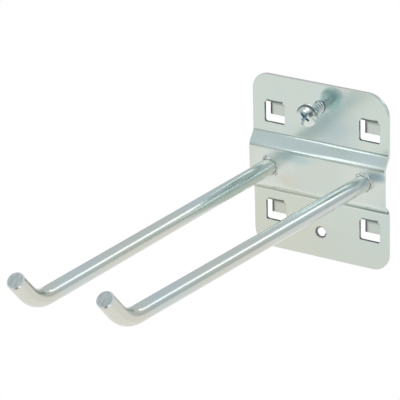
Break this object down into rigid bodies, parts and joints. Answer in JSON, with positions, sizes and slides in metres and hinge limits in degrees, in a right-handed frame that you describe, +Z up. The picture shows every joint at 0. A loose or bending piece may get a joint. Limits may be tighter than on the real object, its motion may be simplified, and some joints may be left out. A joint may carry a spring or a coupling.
{
  "type": "pegboard hook",
  "caption": "Zinc-plated tool hook: upturned round rods welded to a pressed plate that hangs on a square-hole panel by bent tabs and is clamped by a lock screw.",
  "frame": {"origin": "middle of the four hanging tabs, in the plane of the plate's back face", "axes": "+X to the right seen from the front, +Y back into the panel, +Z up; the rods reach out towards -Y"},
  "size_m": [0.0545, 0.1694, 0.0669],
  "materials": {
    "zinc_sheet": "bright zinc plated pressed sheet, satin gloss",
    "zinc_rod": "bright zinc plated drawn rod",
    "weld_metal": "lumpy weld metal under the same zinc plating",
    "zinc_screw": "bright zinc plated screw"
  },
  "bodies": {
    "hook": {"back_plate": "zinc_sheet", "left_rod": "zinc_rod", "right_rod": "zinc_rod", "left_weld_bead": "weld_metal", "right_weld_bead": "weld_metal"},
    "lock_screw": {"lock_screw": "zinc_screw"}
  },
  "joints": [
    {"name": "lock_screw_travel", "type": "slide", "parent": "hook", "child": "lock_screw", "axis": [0, 1, 0], "range_m": [-0.0012, 0.0077]}
  ]
}
